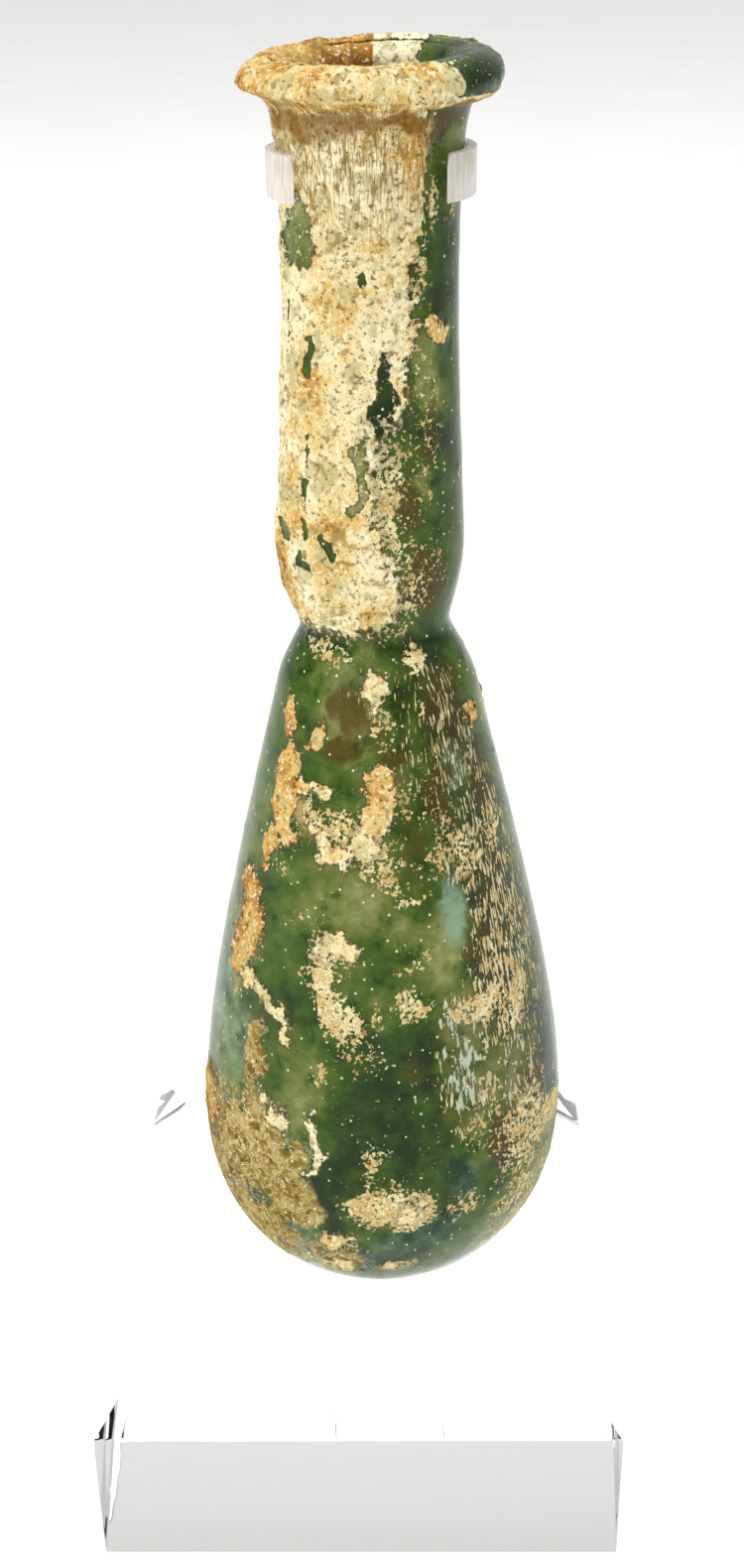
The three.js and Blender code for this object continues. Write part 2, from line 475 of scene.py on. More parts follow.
# Where the crust has fallen away again: turn, height, half turn, half height.
crustHoles = [
    (24, 109.7, 7, 1.3),
    (-53, 113.2, 15, 2.6),
    (-44, 103, 5, 1.1),
    (-44, 95.3, 4, 1),
    (-45, 91, 4, 0.9),
    (-43, 86.7, 4, 1),
    (-46, 83.5, 4, 0.8),
    (-62, 107, 3, 0.8),
    (-65, 104.5, 3, 0.6),
    (-9, 90, 4, 0.8),
    (-5, 110.3, 3, 0.5),
    (-68, 86, 5, 1),
    (-26, 86, 4, 0.8),
    (6, 100, 6, 3.2),
    (-5, 93, 5, 3.4),
    (-33, 64, 3.5, 1),
    (-36, 58, 5, 1.4),
    (-38, 20.2, 4, 1.8),
    (-53, 20, 3.5, 1.4),
    (-40, 14.8, 8, 1.4),
    (-47, 26.5, 4, 1.4),
    (-30, 23.5, 3, 1.5),
    (-64, 13.5, 4, 1.3),
]

# Crumbly deposit that thins out to dust: turn, height, half turn, half height, lean, density.
dustPatches = [
    (1, 71, 12, 4.5, 0, 0.62),
    (0, 67.5, 7, 2, 0, 0.55),
    (3, 61, 18, 5, 0, 0.6),
    (-10, 57, 20, 5, -2, 0.72),
    (-24, 57.5, 9, 4, -3, 0.7),
    (6, 53.5, 8, 2, 0, 0.62),
    (-44, 57, 14, 6, 0, 0.45),
    (-17, 46, 11, 2.6, 0, 0.85),
    (-20, 43.5, 10, 2.6, 0, 0.8),
    (-14, 39.5, 11, 4.5, -1, 0.78),
    (-6, 36, 12, 4, 0, 0.5),
    (-20, 33, 4.5, 2.6, 0, 0.6),
    (0, 40, 4, 2.6, 0, 0.7),
    (12, 40.6, 8, 2.2, 0, 0.72),
    (12, 45, 6, 2.5, 3, 0.55),
    (14, 51.3, 9, 1.1, 4, 0.62),
    (38, 39, 16, 2.6, 0, 0.78),
    (52, 37, 10, 4, 0, 0.7),
    (26, 54.5, 9, 1.6, 0, 0.6),
    (38, 54.8, 11, 3.2, 0, 0.66),
    (30, 58.5, 12, 3, 0, 0.5),
    (58, 55, 9, 4, 0, 0.6),
    (24, 61, 16, 5, 0, 0.42),
    (2, 17.8, 15, 3.6, 0, 0.8),
    (10, 17.3, 8, 3, 0, 0.85),
    (-2, 23.6, 6, 3.2, 0, 0.66),
    (-12, 12, 12, 3, 0, 0.6),
    (-16, 8, 14, 2.6, 0, 0.66),
    (6, 8, 12, 1.4, 0, 0.55),
    (26, 17, 8, 2.4, 0, 0.6),
    (34, 27, 10, 7, 0, 0.52),
    (52, 22, 18, 8, 0, 0.68),
    (70, 21, 14, 2.6, -3, 0.78),
    (56, 14, 26, 4.5, 0, 0.62),
    (60, 9, 34, 3, 0, 0.66),
    (30, 9, 10, 2, 0, 0.5),
    (-42, 24, 20, 7, 0, 0.5),
    (-60, 47, 13, 6, 0, 0.5),
    (-58, 40, 12, 4, 0, 0.5),
    (-30, 49, 14, 1.5, 0, 0.42),
    (-43, 52.3, 8, 1.6, 0, 0.5),
    (-4, 34, 26, 12, 0, 0.28),
    (16, 30, 14, 14, 0, 0.3),
    (30, 98, 24, 16, 0, 0.46),
    (24, 110, 20, 6, 0, 0.6),
    (16, 84, 18, 8, 0, 0.6),
    (12, 90, 12, 12, 0, 0.75),
    (12, 100, 9, 5, 0, 0.5),
    (20, 93, 8, 6, 0, 0.42),
    (26, 81, 20, 4, 0, 0.62),
    (45, 84, 16, 4, 0, 0.45),
    (10, 77.5, 24, 2, 0, 0.6),
    (-40, 74.6, 30, 1.4, 0, 0.66),
    (27, 74.5, 14, 1.6, 0, 0.8),
    (27, 69, 4, 1.3, 0, 0.8),
    (-22, 73.5, 14, 2, 0, 0.4),
    (68, 91, 6, 1.6, 0, 0.55),
    (60, 86, 8, 1.4, 0, 0.5),
    (66, 104, 5, 5, 0, 0.35),
    (62, 116, 10, 2.5, 0, 0.5),
    (40, 116, 10, 4, 0, 0.6),
    (-52, 113, 20, 5, 0, 0.45),
    (-6, 93, 12, 6, 0, 0.5),
    (140, 60, 60, 40, 0, 0.34),
    (-130, 40, 50, 30, 0, 0.36),
    (150, 98, 60, 16, 0, 0.36),
]

# Tan film over the glass, with a net of thin pale lines in it: same values.
filmPatches = [
    (-44, 22, 22, 7, 0, 0.85),
    (-30, 17, 12, 5, 0, 0.95),
    (-60, 20, 18, 7, 0, 0.95),
    (-54, 10, 30, 6, 0, 1.0),
    (-74, 14, 20, 9, 0, 0.9),
    (-45, 32, 5, 5, 0, 0.8),
    (-61, 44, 12, 7, 0, 0.5),
    (-38, 58, 12, 3, 0, 0.5),
    (-14, 9, 14, 4, 0, 0.6),
    (-12, 121.5, 70, 3.5, 0, 0.5),
    (-110, 20, 30, 10, 0, 0.6),
    (170, 18, 40, 8, 0, 0.5),
    (140, 45, 20, 7, 0, 0.4),
]

# Milky weathering in the glass: turn, height, half turn, half height, lean, strength.
milkyPatches = [
    (38, 100.5, 10, 4, 0, 0.9),
    (-6, 93, 9, 5, 0, 0.9),
    (-53, 113, 18, 4, 0, 0.6),
    (62, 120, 16, 4, 0, 0.8),
    (34, 92, 7, 2, 0, 0.4),
    (-60, 30, 16, 8, 0, 0.35),
    (-25, 31, 9, 6, 0, 0.4),
    (-20, 51, 24, 4, 0, 0.55),
    (-12, 70, 20, 5, 0, 0.8),
    (-30, 73, 14, 3, 0, 0.5),
    (31, 49.5, 8, 4.5, 0, 1.0),
    (24, 45, 8, 4, 0, 0.7),
    (12, 47, 7, 3, 0, 0.5),
    (29, 34, 10, 9, 0, 0.9),
    (50, 29, 9, 6, 0, 0.9),
    (40, 63, 9, 4, 0, 0.5),
    (76, 14, 22, 9, 0, 0.9),
    (-84, 56, 6, 16, 0, 0.25),
    (-86, 30, 6, 10, 0, 0.25),
    (150, 90, 40, 14, 0, 0.6),
    (-140, 45, 40, 18, 0, 0.5),
]

# Bare dark glass, same values.
deepPatches = [
    (56, 109, 18, 6, 0, 1.0),
    (64, 97, 12, 10, 0, 0.75),
    (6, 100.5, 7, 4, 0, 1.0),
    (24, 109.5, 9, 3, 0, 0.8),
    (2, 29, 16, 8, 0, 1.0),
    (-8, 22, 8, 6, 0, 1.0),
    (-17, 18.5, 5, 5, 0, 1.4),
    (-8, 34, 10, 6, 0, 0.6),
    (12, 33, 12, 8, 0, 0.8),
    (70, 29, 7, 6, 0, 1.2),
    (76, 40, 8, 10, 0, 0.9),
    (-28, 40, 8, 7, 0, 0.5),
    (60, 60, 9, 8, 0, 0.8),
    (44, 70, 16, 5, 0, 1.0),
    (30, 64, 8, 8, 0, 0.7),
    (50, 46, 12, 8, 0, 0.8),
    (45, 24, 10, 4, 0, 0.9),
    (20, 20, 10, 5, 0, 0.5),
    (-45, 75.2, 34, 1.0, 0, 1.4),
    (35, 75.5, 34, 1.2, 0, 1.2),
    (80, 126.5, 44, 5, 0, 1.3),
]

# Blue green glass, same values.
tealPatches = [
    (11, 12.8, 9, 2.8, 0, 1.2),
    (-2, 9.5, 6, 1.8, 0, 1.0),
    (70, 29, 8, 7, 0, 1.2),
    (24, 20, 7, 3, 0, 0.8),
    (20, 14, 7, 3.2, 0, 1.0),
    (-22, 8.5, 6, 3, 0, 0.9),
    (-33, 22, 8, 3, 0, 0.5),
    (-74, 36, 9, 6, 0, 0.9),
    (-56, 33, 12, 7, 0, 0.5),
    (0, 36, 8, 3, 0, 0.4),
    (31, 49.5, 8, 4.5, 0, 0.8),
    (38, 63, 8, 4, 0, 0.6),
    (78, 127, 40, 4, 0, 0.45),
]

# Brown stain, same values.
stainPatches = [
    (-15, 70, 11, 3, 0, 1.0),
    (-20, 66, 9, 1.7, 0, 1.0),
    (-2, 68, 12, 2.6, 0, 0.7),
    (8, 66, 10, 2, 0, 0.8),
    (44, 69, 20, 5, 0, 0.9),
    (30, 61.3, 8, 4, 0, 0.8),
    (58, 61.5, 14, 4, 0, 0.9),
    (38, 95.5, 9, 3, 0, 0.9),
    (26, 90, 8, 4, 0, 0.8),
    (38, 82, 20, 4, 0, 0.9),
    (43, 23, 8, 3.6, 0, 1.3),
    (58, 27, 10, 5, 0, 0.8),
    (44, 42, 16, 7, 0, 0.8),
    (52, 50, 14, 6, 0, 0.6),
    (16, 57, 9, 5, 0, 0.6),
    (12, 34, 6, 3, 0, 0.5),
    (-45, 33, 4, 6, 0, 1.3),
    (-66, 48, 8, 4, 0, 0.6),
    (-52, 10, 22, 4, 0, 0.8),
    (-72, 16, 12, 8, 0, 0.9),
    (0, 123.0, 120, 1.5, 0, 0.95),
    (22, 123.0, 16, 1.2, 0, 1.6),
    (-10, 123.4, 24, 0.9, 0, 1.0),
    (-45, 122.4, 12, 1.3, 0, 1.4),
    (-70, 123.2, 18, 1.2, 0, 1.1),
    (50, 124.2, 18, 0.9, 0, 1.0),
]

# Fine pale lines that run down the glass: same values, the last is their density.
streakPatches = [
    (20, 66, 14, 7, 0, 0.62),
    (42, 66, 22, 8, 0, 0.85),
    (36, 56, 14, 8, 0, 0.8),
    (54, 52, 22, 14, 0, 0.95),
    (50, 40, 24, 9, 0, 1.0),
    (30, 36, 14, 6, 0, 0.95),
    (29, 30, 12, 6, 0, 0.85),
    (50, 29, 14, 8, 0, 0.85),
    (66, 44, 14, 16, 0, 0.8),
    (16, 34, 10, 5, 0, 0.4),
    (-8, 72.5, 20, 3, 0, 0.5),
    (26, 73, 18, 3, 0, 0.7),
    (-20.5, 24, 5, 6, 0, 0.5),
    (62, 113, 14, 10, 0, 0.4),
    (100, 46, 30, 25, 0, 0.6),
]


def softly(turn, height, shapes):
    # how strongly the patches show at each point, fading out past their edges
    total = np.zeros(len(turn))
    for atTurn, atHeight, halfTurn, halfHeight, lean, strength in shapes:
        across = turnGap(turn, atTurn + lean * (height - atHeight)) / halfTurn
        inside = 1 - np.hypot(across, (height - atHeight) / halfHeight)
        total = np.maximum(total, strength * smooth(inside, -0.45, 0.65))
    return total


def weatherBottle(piece, outside):
    # reads the spun shape, works out where each kind of weathering lies, and shapes the relief
    mesh = piece.data
    count = len(mesh.vertices)
    flat = np.empty(count * 3)
    mesh.vertices.foreach_get("co", flat)
    places = flat.reshape(-1, 3) / mm
    mesh.vertex_normals.foreach_get("vector", flat)
    normals = flat.reshape(-1, 3).copy()
    radius = np.hypot(places[:, 0], places[:, 1])
    height = places[:, 2].copy()
    turn = np.degrees(np.arctan2(places[:, 0], -places[:, 1]))

    # the inside is what lies nearer the axis than half the wall
    lip, half = bottle["lip"], bottle["lipHalf"]
    outer = outside[outside[:, 1] < lip[1] - half[1]]
    outer = outer[outer[:, 0] > bottle["foot"][0] - 0.5]
    wallAt = np.interp(height, outer[:, 1], outer[:, 0])
    belowLip = height < lip[1] - half[1]
    inside = np.where(belowLip, radius < wallAt - bottle["wall"] / 2, radius < lip[0] - 1.6)
    inside &= ~((height < bottle["floorThickness"] / 2) & belowLip)
    roundLip = np.degrees(np.arctan2((height - lip[1]) / half[1], (radius - lip[0]) / half[0]))
    onLip = (height > lip[1] - half[1] - 0.2) & (radius > lip[0] - half[0] - 0.05)

    # ragged outlines: the maps are read at places that wander by about a millimetre
    perRadius = bottle["degreesPerRadian"] / np.maximum(radius, 5)  # degrees for each mm
    atTurn = turn + (1.3 * grain(places, 3.6, 4) + 0.5 * grain(places, 1.1, 2, 11.0)) * perRadius
    atHeight = height + 1.2 * grain(places, 3.6, 4, 37.0) + 0.6 * grain(places, 1.1, 2, 71.0)

    depth, warmth = patches(atTurn, atHeight, crustFlakes)
    rightEdge = np.interp(atHeight, neckSheet["heights"], neckSheet["rightEdge"])
    toRight = turnGap(rightEdge, atTurn) / perRadius
    toLeft = turnGap(atTurn, neckSheet["leftEdge"]) / perRadius
    fromBottom = atHeight - neckSheet["bottom"]
    sheet = np.minimum(np.minimum(toRight, toLeft), fromBottom) / neckSheet["fade"]
    sheetWarmth = 0.2 + 0.3 * grain(places, 5.0, 3, 5.0)
    sheetWarmth += 0.4 * softly(turn, height, sheetWarmPatches)
    warmth = np.where(sheet > depth, sheetWarmth, warmth)
    depth = np.maximum(depth, np.minimum(sheet, 1))
    holes = patches(atTurn, atHeight, [(*hole, 0, 0) for hole in crustHoles])[0]
    depth = np.minimum(depth, -1.3 * holes)

    # the lip is crusted all round but for the glossy length at the right
    start, end = bottle["bareLip"]
    bareLip = np.minimum(turnGap(atTurn, start), turnGap(end, atTurn)) / 8
    bareLip = np.where(roundLip < -38, -1, bareLip)
    start, end = bottle["bareTop"]
    bareTop = np.minimum(turnGap(atTurn, start), turnGap(end, atTurn)) / 8
    bareLip = np.where(roundLip > 75, bareTop, bareLip)
    depth = np.where(onLip, np.clip(-bareLip, -1, 1), depth)
    lipWarmth = 0.42 + 0.35 * grain(places, 3.0, 3, 9.0) - 0.003 * turnGap(turn, 0)
    warmth = np.where(onLip, lipWarmth, warmth)
    depth = np.where(inside & ~onLip, grain(places, 7.0, 3, 3.0) * 0.8 + 0.1, depth)
    warmth = np.where(inside & ~onLip, 0.75, warmth)
    depth = np.clip(depth, -1, 1)

    maps = {name: softly(atTurn, atHeight, shapes) for name, shapes in [
        ("dust", dustPatches), ("film", filmPatches), ("milky", milkyPatches),
        ("deep", deepPatches), ("teal", tealPatches), ("stain", stainPatches),
        ("streaks", streakPatches)]}
    maps["dust"] = np.maximum(maps["dust"], 0.5 * smooth(depth, -0.9, 0) * (depth < 0.2))
    maps["dust"] = np.where(onLip, 0.35, maps["dust"])
    maps["streaks"] *= ~onLip
    maps["striped"] = smooth(height, 110, 119) * (1 - smooth(height, 124.5, 126.5)) * ~inside
    # thin dark seams where the folded lip was pressed down
    seamHeight = np.where(turn > -30, 101, 96)
    seam = 1 - np.abs(roundLip - seamHeight - 6 * grain(places, 5.0, 2, 55.0)) / 10
    seam = np.where(onLip & (turn > -78) & (turn < 12), seam, 0)
    backSeam = 1 - np.abs(roundLip - 118 - 6 * grain(places, 5.0, 2, 56.0)) / 9
    seam = np.maximum(seam, np.where(onLip & (np.abs(turnGap(turn, 160)) < 55), backSeam, 0))
    maps["seam"] = np.clip(seam, 0, 1)
    maps["crust"] = depth
    maps["warmth"] = warmth

    # relief: crust stands proud of the glass, in lumps, and the glass dips between
    crusted = smooth(depth + 0.12 * grain(places, 0.9, 2, 21.0), -0.04, 0.16)
    lumps = grain(places, 1.3, 3, 15.0)
    pits = smooth(grain(places, 0.8, 2, 45.0), 0.25, 0.6)
    dusty = smooth(maps["dust"] + 0.5 * lumps, 0.45, 0.8) * (1 - crusted)
    lift = crusted * (0.6 + 0.6 * lumps - 0.6 * pits) * bottle["crustThickness"]
    lift += np.where(depth > 0.25, 0.14 * grain(places, 4.0, 2, 63.0), 0)
    lift += dusty * 0.1 + 0.05 * grain(places, 5.0, 2, 81.0)
    lift = np.where(inside & ~onLip, 0.1 * crusted, lift)
    lift -= 0.22 * maps["seam"]

    for lumpTurn, lumpHeight, lumpSize, lumpRise in neckLumps:
        reach = np.hypot(turnGap(turn, lumpTurn) / perRadius, height - lumpHeight)
        lift += np.where(~inside, lumpRise * np.exp(-(reach / lumpSize) ** 2), 0)

    # the lip is pinched to an edge at the left, and its rim dips at the front and left
    leftEnd = np.clip(np.cos(np.radians(turnGap(turn, -90))), 0, 1)
    under = onLip & (roundLip < 5) & (roundLip > -95)
    pinch = 0.8 * leftEnd * np.sin(np.radians(np.clip(-roundLip, 0, 90)) * 2)
    lift -= np.where(under, np.clip(pinch, 0, 1), 0)
    places += normals * lift[:, None]
    dip = 0.7 + 0.42 * np.cos(np.radians(turn)) - 0.3 * np.sin(np.radians(turn))
    places[:, 2] -= dip * smooth(height, lip[1] - 3.5, lip[1] + 0.8)

    # nothing leaves the solid's own height
    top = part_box("bottle")[1].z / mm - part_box("bottle")[0].z / mm
    places[:, 2] = np.clip(places[:, 2], 0, top)
    places[:, 0] += np.interp(places[:, 2], bottle["wanderHeights"], bottle["wanderShifts"])
    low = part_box("bottle")[0]
    origin = np.array([bottle["middle"][0], bottle["middle"][1], low.z / mm])
    mesh.vertices.foreach_set("co", ((places + origin) * mm).ravel())
    mesh.update()

    # a flat-lying coordinate for grain that runs down the glass
    wrap = np.stack([np.sin(np.radians(turn)) * bottle["wrapRadius"],
                     -np.cos(np.radians(turn)) * bottle["wrapRadius"], height], 1)
    spread = mesh.attributes.new("wrap", "FLOAT_VECTOR", "POINT")
    spread.data.foreach_set("vector", (wrap * mm).ravel())
    for name, values in maps.items():
        layer = mesh.attributes.new(name, "FLOAT", "POINT")
        layer.data.foreach_set("value", np.asarray(values, float))


# Sizes of the grain in the weathered glass, in mm.
grainSizes = {
    "drift": 8.0,
    "mottle": 2.6,
    "small": 1.1,
    "crumb": 0.42,
    "dust": 0.2,
    "line": 0.24,
    "lineGroups": 1.8,
    "net": 3.2,
    "spark": 0.8,
}

# The kinds of node in the weathered glass: type, inputs in the order they are given, settings,
# and which output is taken.
nodeKinds = {
    "grain": ("ShaderNodeTexNoise", ("Scale", "Detail", "Roughness", "Vector", "Distortion"), {}, 0),
    "add": ("ShaderNodeMath", (0, 1), {"operation": "ADD"}, 0),
    "minus": ("ShaderNodeMath", (0, 1), {"operation": "SUBTRACT"}, 0),
    "times": ("ShaderNodeMath", (0, 1), {"operation": "MULTIPLY"}, 0),
    "timesPlus": ("ShaderNodeMath", (0, 1, 2), {"operation": "MULTIPLY_ADD"}, 0),
    "larger": ("ShaderNodeMath", (0, 1), {"operation": "MAXIMUM"}, 0),
    "unsigned": ("ShaderNodeMath", (0,), {"operation": "ABSOLUTE"}, 0),
    "above": ("ShaderNodeMath", (0, 1), {"operation": "GREATER_THAN"}, 0),
    "ramp": ("ShaderNodeMapRange", (0, 1, 2, 3, 4), {"interpolation_type": "SMOOTHSTEP"}, 0),
    "level": ("ShaderNodeMapRange", (0, 1, 2, 3, 4), {"clamp": False}, 0),
    "blend": ("ShaderNodeMix", (0, 6, 7), {"data_type": "RGBA"}, 2),
    "bump": ("ShaderNodeBump", ("Height", "Strength", "Distance", "Normal"), {}, 0),
}


def weatheredGlass():
    # Soda-lime glass coloured green by iron, free-blown, then long buried. Bare glass stays
    # dark, glossy and a little see-through; leached glass is milky and silky; the soil's lime
    # has set on it as a matt crust, cream to ochre, that flakes off in patches. The leached
    # skin takes most of the shine, so the specular level is low for the index of glass.
    material, tree = newMaterial("buried_soda_lime_glass")
    place = addNode(tree, "ShaderNodeTexCoord").outputs["Object"]
    wrap = addNode(tree, "ShaderNodeAttribute", attribute_name="wrap").outputs["Vector"]
    maps = {name: addNode(tree, "ShaderNodeAttribute", attribute_name=name).outputs["Fac"]
            for name in ("crust", "warmth", "dust", "film", "milky", "deep", "teal", "stain",
                         "streaks", "striped", "seam")}
    scale = {name: 1 / (size * mm) for name, size in grainSizes.items()}

    def put(kind, *values):
        nodeType, inputs, settings, output = nodeKinds[kind]
        return addNode(tree, nodeType, dict(zip(inputs, values)), **settings).outputs[output]

    drift = put("grain", scale["drift"], 3.0, 0.55, place)
    mottle = put("grain", scale["mottle"], 5.0, 0.65, place)
    small = put("grain", scale["small"], 4.0, 0.6, place)
    crumb = put("grain", scale["crumb"], 3.0, 0.65, place)
    dust = put("grain", scale["dust"], 2.0, 0.6, place)
    downward = addNode(tree, "ShaderNodeMapping", {"Vector": wrap, "Scale": (1, 1, 0.17)})
    line = put("grain", scale["line"], 2.0, 0.6, downward.outputs[0])
    lineGroups = put("grain", scale["lineGroups"], 3.0, 0.6, place)
    crumbSwing = put("minus", crumb, 0.5)

    # the glass: bottle green, cloudier and browner in broad drifts
    tone = put("timesPlus", mottle, 0.55, put("times", drift, 0.45))
    tone = put("timesPlus", maps["milky"], 0.2, tone)
    tone = put("timesPlus", maps["deep"], -0.16, tone)
    glass = addNode(tree, "ShaderNodeValToRGB", {0: tone}, stops=[
        (0.3, "#1d3406"), (0.42, "#36520d"), (0.52, "#4f6a20"), (0.62, "#75803e"),
        (0.76, "#a3a56c")]).outputs[0]
    tealHere = put("ramp", put("timesPlus", mottle, 0.5, maps["teal"]), 0.45, 1.0)
    tealTone = put("blend", put("ramp", tone, 0.4, 0.75), "#063a26", "#8fae90")
    glass = put("blend", put("times", tealHere, 0.85), glass, tealTone)
    stainHere = put("ramp", put("timesPlus", mottle, 1.2, maps["stain"]), 0.85, 1.5)
    stainTone = put("blend", crumb, "#2c2506", "#6e5a16")
    glass = put("blend", put("times", stainHere, 0.9), glass, stainTone)
    glass = put("blend", put("ramp", mottle, 0.44, 0.34, 0, 0.55), glass, "#1e2c08")

    # a tan film, with a net of thin pale lines
    filmHere = put("ramp", put("timesPlus", mottle, 1.6, maps["film"]), 1.1, 1.5)
    filmGrain = put("timesPlus", mottle, 0.6, put("times", small, 0.4))
    filmTone = addNode(tree, "ShaderNodeValToRGB", {0: filmGrain}, stops=[
        (0.36, "#4a4a18"), (0.46, "#85601c"), (0.54, "#9c8340"), (0.66, "#cbb67c")]).outputs[0]
    skin = put("blend", put("times", filmHere, 0.88), glass, filmTone)
    swirl = put("grain", scale["net"], 3.0, 0.6, place, 2.2)
    net = put("ramp", put("unsigned", put("minus", swirl, 0.5)), 0.028, 0.004)
    fineNet = put("ramp", put("unsigned", put("minus", small, 0.52)), 0.03, 0.006)
    net = put("larger", net, put("times", fineNet, 0.5))
    net = put("times", net, put("ramp", maps["film"], 0.15, 0.6))
    skin = put("blend", put("times", net, 0.75), skin, "#e2d6a4")

    # pale lines that run down the glass, over a darker ground
    lineDensity = put("times", maps["streaks"], put("ramp", lineGroups, 0.3, 0.62, 0.45, 1.15))
    lineLevel = put("level", lineDensity, 0.0, 1.0, 0.78, 0.5)
    lines = put("ramp", put("minus", line, lineLevel), -0.025, 0.025)
    lineTone = put("blend", put("ramp", lineGroups, 0.4, 0.65), "#efe6bc", "#c4ad78")
    lineTone = put("blend", put("ramp", maps["milky"], 0.3, 0.9), lineTone, "#bac5ae")
    ground = put("blend", mottle, "#1c2406", "#4e4a16")
    groundHere = put("times", put("ramp", maps["streaks"], 0.3, 0.9), 0.5)
    skin = put("blend", groundHere, skin, ground)
    skin = put("blend", put("times", lines, 0.92), skin, lineTone)

    # crumbly deposit, with white and brown grains in it; the white grains are partly painted
    # highlight and the brown grains partly painted shade
    depositGrain = put("timesPlus", crumb, 0.65, put("times", small, 0.35))
    depositLevel = put("level", maps["dust"], 0.0, 1.0, 0.745, 0.36)
    deposit = put("ramp", put("minus", depositGrain, depositLevel), -0.02, 0.02)
    patchGrain = put("timesPlus", mottle, 0.5, put("times", small, 0.5))
    depositTone = put("blend", put("ramp", patchGrain, 0.42, 0.6), "#ece0ae", "#cbaa6c")
    # white where the finest grain is high: partly painted highlight
    depositTone = put("blend", put("ramp", dust, 0.58, 0.72), depositTone, "#fffbe4")
    # brown where the finest grain is low: partly painted shade between the grains
    depositTone = put("blend", put("ramp", dust, 0.42, 0.32, 0, 0.7), depositTone, "#7d6434")
    skin = put("blend", put("times", deposit, 0.95), skin, depositTone)

    # single pale specks, fewer where the glass is bare
    specks = addNode(tree, "ShaderNodeTexVoronoi", {"Vector": place, "Scale": scale["spark"]})
    lot = addNode(tree, "ShaderNodeSeparateColor", {0: specks.outputs["Color"]}).outputs[0]
    drawn = put("above", lot, put("timesPlus", maps["deep"], 0.12, 0.66))
    speck = put("times", put("ramp", specks.outputs["Distance"], 0.2, 0.13), drawn)
    skin = put("blend", speck, skin, "#f6eec6")

    # the crust: cream to orange brown; pale on its high grains, partly the lime's own colour and
    # partly painted highlight, and brown in its pores and crevices, partly its own colour and partly
    # painted shade
    warm = put("timesPlus", put("minus", mottle, 0.5), 1.5, maps["warmth"])
    warm = put("timesPlus", crumbSwing, 0.8, warm)
    lime = addNode(tree, "ShaderNodeValToRGB", {0: warm}, stops=[
        (0.0, "#f3ebc6"), (0.3, "#e8d7a2"), (0.55, "#dbb76c"), (0.8, "#c08c3e"),
        (1.0, "#8f5c22")]).outputs[0]
    # paler where the fine grain is high: partly painted highlight on the raised grains
    lime = put("blend", put("ramp", crumb, 0.54, 0.66, 0, 0.85), lime, "#fdf8de")
    lime = put("blend", put("ramp", mottle, 0.49, 0.4, 0, 0.6), lime, "#a69a58")
    # browner where the grain is low: partly painted shade in the crevices and pores
    lime = put("blend", put("ramp", small, 0.47, 0.36, 0, 0.75), lime, "#9a7c3c")
    lime = put("blend", put("ramp", crumb, 0.45, 0.34, 0, 0.85), lime, "#634516")
    stripes = put("times", maps["striped"], put("ramp", line, 0.52, 0.42, 0, 0.75))
    lime = put("blend", stripes, lime, "#7f6028")
    brownHere = put("ramp", put("timesPlus", line, 2.4, maps["stain"]), 1.6, 2.4)
    brownTone = put("blend", crumb, "#4a2c08", "#a5762e")
    lime = put("blend", put("times", brownHere, 0.9), lime, brownTone)

    # where the crust lies, with a dark line round it, and the seams of the lip
    crustValue = put("timesPlus", put("minus", small, 0.5), 1.1, maps["crust"])
    crustValue = put("add", crustValue, crumbSwing)
    crustHere = put("ramp", crustValue, -0.12, 0.2)
    rim = put("times", put("ramp", crustValue, -0.3, -0.1), put("minus", 1.0, crustHere))
    skin = put("blend", put("times", rim, 0.4), skin, "#3d3410")
    colour = put("blend", crustHere, skin, lime)
    seamHere = put("ramp", put("timesPlus", crumbSwing, 1.2, maps["seam"]), 0.45, 0.7)
    colour = put("blend", seamHere, colour, "#3a2a10")

    # matt crust, silky film, glossy bare glass that lets some light through
    matt = put("larger", crustHere, put("times", put("larger", deposit, lines), 0.85))
    silky = put("larger", put("times", filmHere, 0.7), put("times", maps["milky"], 0.4))
    dull = put("larger", matt, silky)
    rough = put("ramp", dull, 0.0, 1.0, 0.2, 0.88)
    clear = put("times", put("minus", 1.0, dull), 0.35)
    surface = put("bump", put("times", crumb, crustHere), 0.8, 0.3 * mm)
    surface = put("bump", matt, 0.6, 0.12 * mm, surface)
    surface = put("bump", small, 0.15, 0.3 * mm, surface)
    shader = addNode(tree, "ShaderNodeBsdfPrincipled", {
        "Base Color": colour, "Roughness": rough, "IOR": 1.5, "Specular IOR Level": 0.06,
        "Transmission Weight": clear, "Normal": surface})
    addNode(tree, "ShaderNodeOutputMaterial", {"Surface": shader.outputs[0]})
    return material


def makeBottle():
    outside, inside = bottleProfile()
    piece = spinProfile(np.vstack([outside, inside[1:]]))
    weatherBottle(piece, outside)
    selectOnly(piece)
    bpy.ops.object.shade_smooth()
    piece.data.materials.append(weatheredGlass())
    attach(piece, "root")
    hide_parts("bottle")
    print("bottle", len(piece.data.polygons), "faces")


# The clear acrylic stand

block = {
    "bevelInset": 5.5,
    "bevelRise": 8.2,
    "slotDepth": 5.4,
    "slotRounding": 1.0,
    "touchGap": 0.3,
    "slotAbove": 5,  # how far the slot's cutter stands out of the block
    "polish": 0.25,
    "postRounding": 0.7,
    "postPolish": 0.15,
}

clip = {
    "innerRadius": 8.55,
    "ringWidth": 0.8,
    "mouthHalfWidth": 6.6,
    "tipRounding": 1.2,
    "neckShift": 0.19,  # how far the neck's axis has wandered at the clip's height
    "spare": 1,  # how far the cutters reach past the plate
    "polish": 0.2,
}


